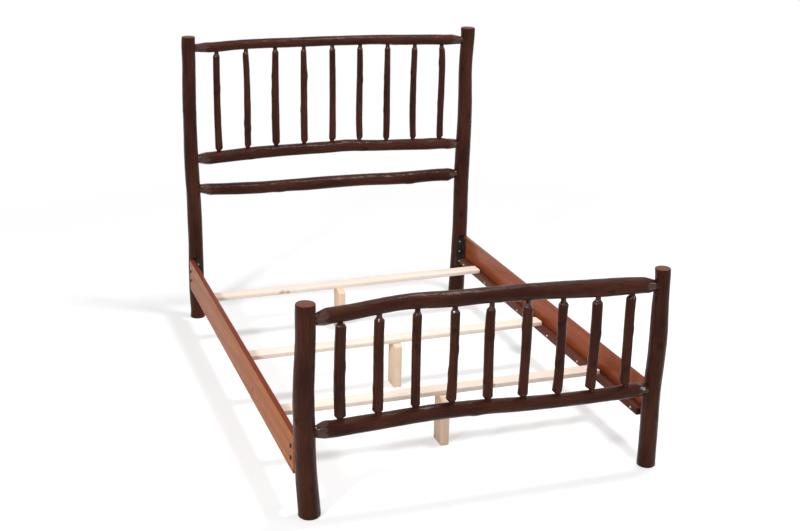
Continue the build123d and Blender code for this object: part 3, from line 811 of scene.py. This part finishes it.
for slat_name, slat_y, turn in (("head", 0.706, 1.6), ("middle", -0.018, 1.2), ("foot", -0.57, 0.6)):
    name = f"{slat_name}_slat"
    low, high = (Vector(corner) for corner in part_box(name))
    middle = Vector((0, slat_y, (low.z + high.z) / 2))
    board = plank((slat_length, slat_width, high.z - low.z), middle, pine_ease, math.radians(turn))
    slat_finish = board_material(
        f"pine across {slat_name}", ("Y", "Z", "X"), pine, 0.55, 0.0,
        slat_knots[slat_name], knot_colour=pine_knot,
    )
    slat = place_piece(board, name + "_wood", name, "pale_pine", slat_finish, name)
    sharpen(slat)

    low, high = (Vector(corner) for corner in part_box(name + "_leg"))
    bm = bmesh.new()
    bmesh.ops.create_cube(bm, size=1)
    bmesh.ops.scale(bm, vec=high - low, verts=bm.verts)
    bmesh.ops.translate(bm, vec=(low + high) / 2, verts=bm.verts)
    slope = Vector((0, -leg_bevel_drop, leg_bevel_reach)).normalized()
    cut = bmesh.ops.bisect_plane(
        bm, geom=[*bm.verts, *bm.edges, *bm.faces], plane_co=(low.x, low.y, high.z - leg_bevel_drop),
        plane_no=slope, clear_outer=True,
    )
    cut_edges = [item for item in cut["geom_cut"] if isinstance(item, bmesh.types.BMEdge)]
    bmesh.ops.contextual_create(bm, geom=cut_edges)
    bmesh.ops.bevel(
        bm, geom=bm.edges, offset=pine_ease, segments=3, profile=0.5, affect="EDGES", material=-1
    )
    leg = place_piece(bm, name + "_leg_wood", name, "pale_pine", leg_finish, name + "_leg")
    sharpen(leg)

    bm = bmesh.new()
    low, high = (Vector(corner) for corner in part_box(name + "_screws"))
    for spot_y in (low.y + leg_screw_head, high.y - leg_screw_head):
        spot = ((low.x + high.x) / 2, spot_y, high.z - leg_screw_sink)
        screw(bm, spot, (0, 0, 1), leg_screw_head, leg_screw_rise, leg_screw_shank, leg_screw_length)
    screws = place_piece(bm, name + "_screws_set", name, "steel_screw", steel_finish, name + "_screws")
    sharpen(screws, 45)


# Studio
# A pale floor that fades to white and a white surround, softboxes from the left, from above and from
# the right, and the camera at the photograph's height, distance and turn.
def seen_rays(tree):
    """1 for the rays that show a backdrop as it is: the camera's, and those off gloss or through glass."""
    path = put(tree, "ShaderNodeLightPath").outputs
    share = reckon(tree, "MAXIMUM", path["Is Camera Ray"], path["Is Glossy Ray"])
    return reckon(tree, "MAXIMUM", share, path["Is Transmission Ray"])


stage_white = bpy.data.materials.new("stage white")
stage_white.use_nodes = True
stage_tree = stage_white.node_tree
stage_shader = stage_tree.nodes["Principled BSDF"]
stage_shader.inputs["Base Color"].default_value = (0.62, 0.62, 0.62, 1)
stage_shader.inputs["Roughness"].default_value = 0.9
stage_shader.inputs["Specular IOR Level"].default_value = 0.0
stage_shader.inputs["Emission Color"].default_value = (1, 1, 1, 1)
stage_seen = seen_rays(stage_tree)
stage_glimmer = between(stage_tree, stage_seen, 0, 1, 0.0, 0.45)
stage_tree.links.new(stage_glimmer, stage_shader.inputs["Emission Strength"])
stage_place = put(stage_tree, "ShaderNodeTexCoord").outputs["Object"]
stage_away = put(stage_tree, "ShaderNodeVectorMath", [(0, stage_place)], operation="LENGTH")
stage_far = between(stage_tree, stage_away.outputs["Value"], 1.7, 3.6)
stage_share = reckon(stage_tree, "MULTIPLY", stage_far, stage_seen)
stage_glow = put(stage_tree, "ShaderNodeEmission", [("Color", (1, 1, 1, 1)), ("Strength", 1.0)])
wires = [(0, stage_share), (1, stage_shader.outputs[0]), (2, stage_glow.outputs[0])]
stage_mix = put(stage_tree, "ShaderNodeMixShader", wires)
stage_tree.links.new(stage_mix.outputs[0], stage_tree.nodes["Material Output"].inputs["Surface"])
bm = bmesh.new()
bmesh.ops.create_grid(bm, x_segments=1, y_segments=1, size=30)
floor_mesh = bpy.data.meshes.new("floor")
bm.to_mesh(floor_mesh)
bm.free()
floor_mesh.materials.append(stage_white)
floor = bpy.data.objects.new("floor", floor_mesh)
bpy.context.scene.collection.objects.link(floor)

world = bpy.data.worlds.new("studio")
bpy.context.scene.world = world
world.use_nodes = True
world_tree = world.node_tree
surround = world_tree.nodes["Background"]
surround.inputs["Color"].default_value = (1, 1, 1, 1)
surround_strength = between(world_tree, seen_rays(world_tree), 0, 1, 0.42, 1.0)
world_tree.links.new(surround_strength, surround.inputs["Strength"])


def soft_light(name, place, target, size, power):
    """A square softbox that faces a point."""
    lamp = bpy.data.lights.new(name, "AREA")
    lamp.size = size
    lamp.energy = power
    holder = bpy.data.objects.new(name, lamp)
    holder.location = place
    holder.rotation_euler = (Vector(target) - Vector(place)).to_track_quat("-Z", "Y").to_euler()
    bpy.context.scene.collection.objects.link(holder)


soft_light("left softbox", (-4.5, -4.0, 4.6), (0, 0, 0.4), 0.9, 270)
soft_light("top softbox", (1.3, -0.3, 5.2), (0, 0, 0.4), 1.0, 150)
soft_light("right softbox", (5.0, -3.5, 2.5), (0, 0, 0.5), 1.2, 45)

camera = bpy.data.cameras.new("camera")
camera.lens = 59.24
camera.sensor_width = 36
camera_object = bpy.data.objects.new("camera", camera)
right = Vector((0.94582, -0.32407, 0.02015))
up = Vector((0.08721, 0.31329, 0.94563))
forward = Vector((0.31277, 0.89265, -0.32458))
turned = Matrix((right, up, -forward)).transposed().to_4x4()
camera_object.matrix_world = Matrix.Translation((-1.7291, -4.9613, 2.3350)) @ turned
bpy.context.scene.collection.objects.link(camera_object)
bpy.context.scene.camera = camera_object
bpy.context.scene.view_settings.view_transform = "Standard"
